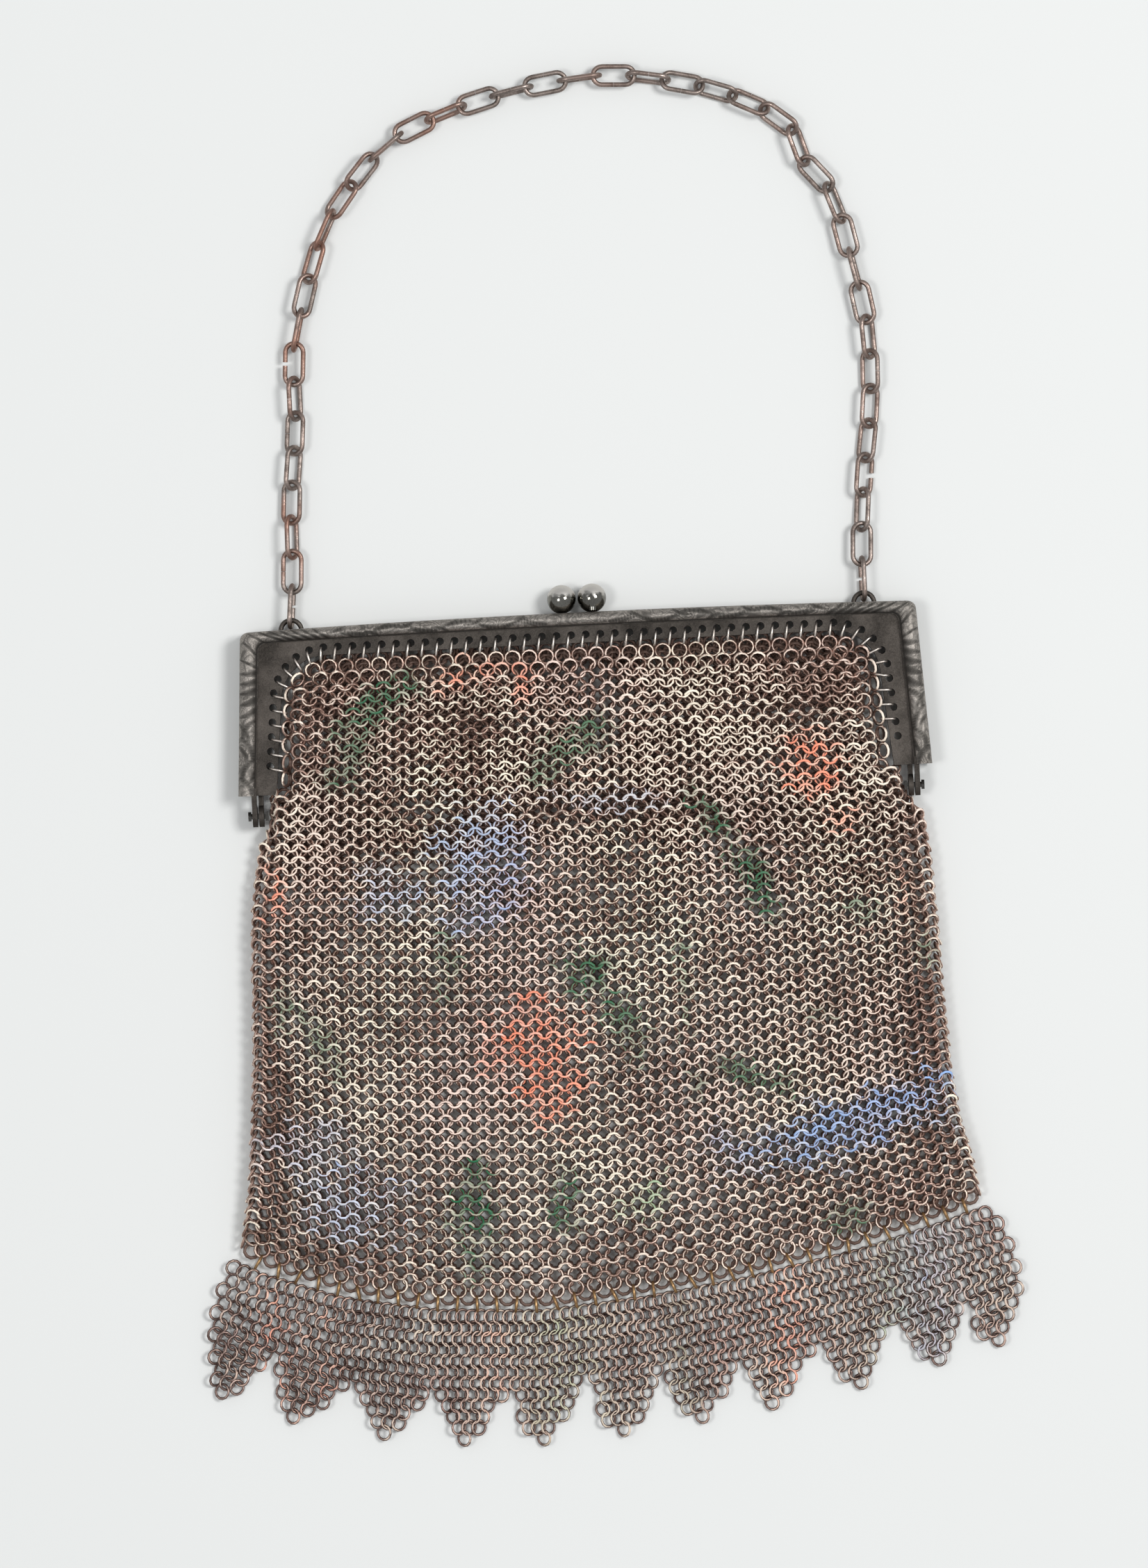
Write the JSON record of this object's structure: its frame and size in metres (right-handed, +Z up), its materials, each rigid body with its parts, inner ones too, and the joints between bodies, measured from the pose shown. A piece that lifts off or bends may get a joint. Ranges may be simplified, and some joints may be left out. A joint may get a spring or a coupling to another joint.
{
  "type": "metal mesh purse",
  "caption": "Handbag of linked metal rings on an engraved snap frame with ball clasp, carry chain and pointed ring fringe, lying flat.",
  "frame": {"origin": "on the floor under the middle of the whole purse, chain and fringe included", "axes": "+X along the frame's bar, +Y from the fringe to the chain, +Z up, through the bag from back to front"},
  "size_m": [0.1676, 0.2824, 0.0077],
  "materials": {
    "gunmetal": "stamped metal with dark grey patina, worn brighter on the raised leaves",
    "dark_steel": "dark polished metal",
    "enamelled_mesh": "worn cream enamel with soft coloured flowers over brown tarnished rings",
    "brown_mesh": "brown tarnished rings with traces of colour",
    "chain_metal": "copper-brown plated wire worn to grey"
  },
  "bodies": {
    "root": {"frame_front": "gunmetal", "frame_back": "gunmetal", "hinge_rivet_left": "dark_steel", "hinge_rivet_right": "dark_steel", "clasp_ball_front": "dark_steel", "clasp_ball_back": "dark_steel", "mesh_bag": "enamelled_mesh", "mesh_fringe": "brown_mesh", "chain_link_01": "chain_metal", "chain_link_02": "chain_metal", "chain_link_03": "chain_metal", "chain_link_04": "chain_metal", "chain_link_05": "chain_metal", "chain_link_06": "chain_metal", "chain_link_07": "chain_metal", "chain_link_08": "chain_metal", "chain_link_09": "chain_metal", "chain_link_10": "chain_metal", "chain_link_11": "chain_metal", "chain_link_12": "chain_metal", "chain_link_13": "chain_metal", "chain_link_14": "chain_metal", "chain_link_15": "chain_metal", "chain_link_16": "chain_metal", "chain_link_17": "chain_metal", "chain_link_18": "chain_metal", "chain_link_19": "chain_metal", "chain_link_20": "chain_metal", "chain_link_21": "chain_metal", "chain_link_22": "chain_metal", "chain_link_23": "chain_metal", "chain_link_24": "chain_metal", "chain_link_25": "chain_metal", "chain_link_26": "chain_metal", "chain_link_27": "chain_metal", "chain_link_28": "chain_metal", "chain_link_29": "chain_metal", "chain_link_30": "chain_metal", "chain_link_31": "chain_metal", "chain_link_32": "chain_metal", "chain_link_33": "chain_metal", "chain_link_34": "chain_metal", "chain_link_35": "chain_metal", "chain_link_36": "chain_metal", "chain_link_37": "chain_metal", "chain_link_38": "chain_metal", "chain_link_39": "chain_metal", "chain_link_40": "chain_metal", "chain_link_41": "chain_metal"}
  },
  "joints": []
}
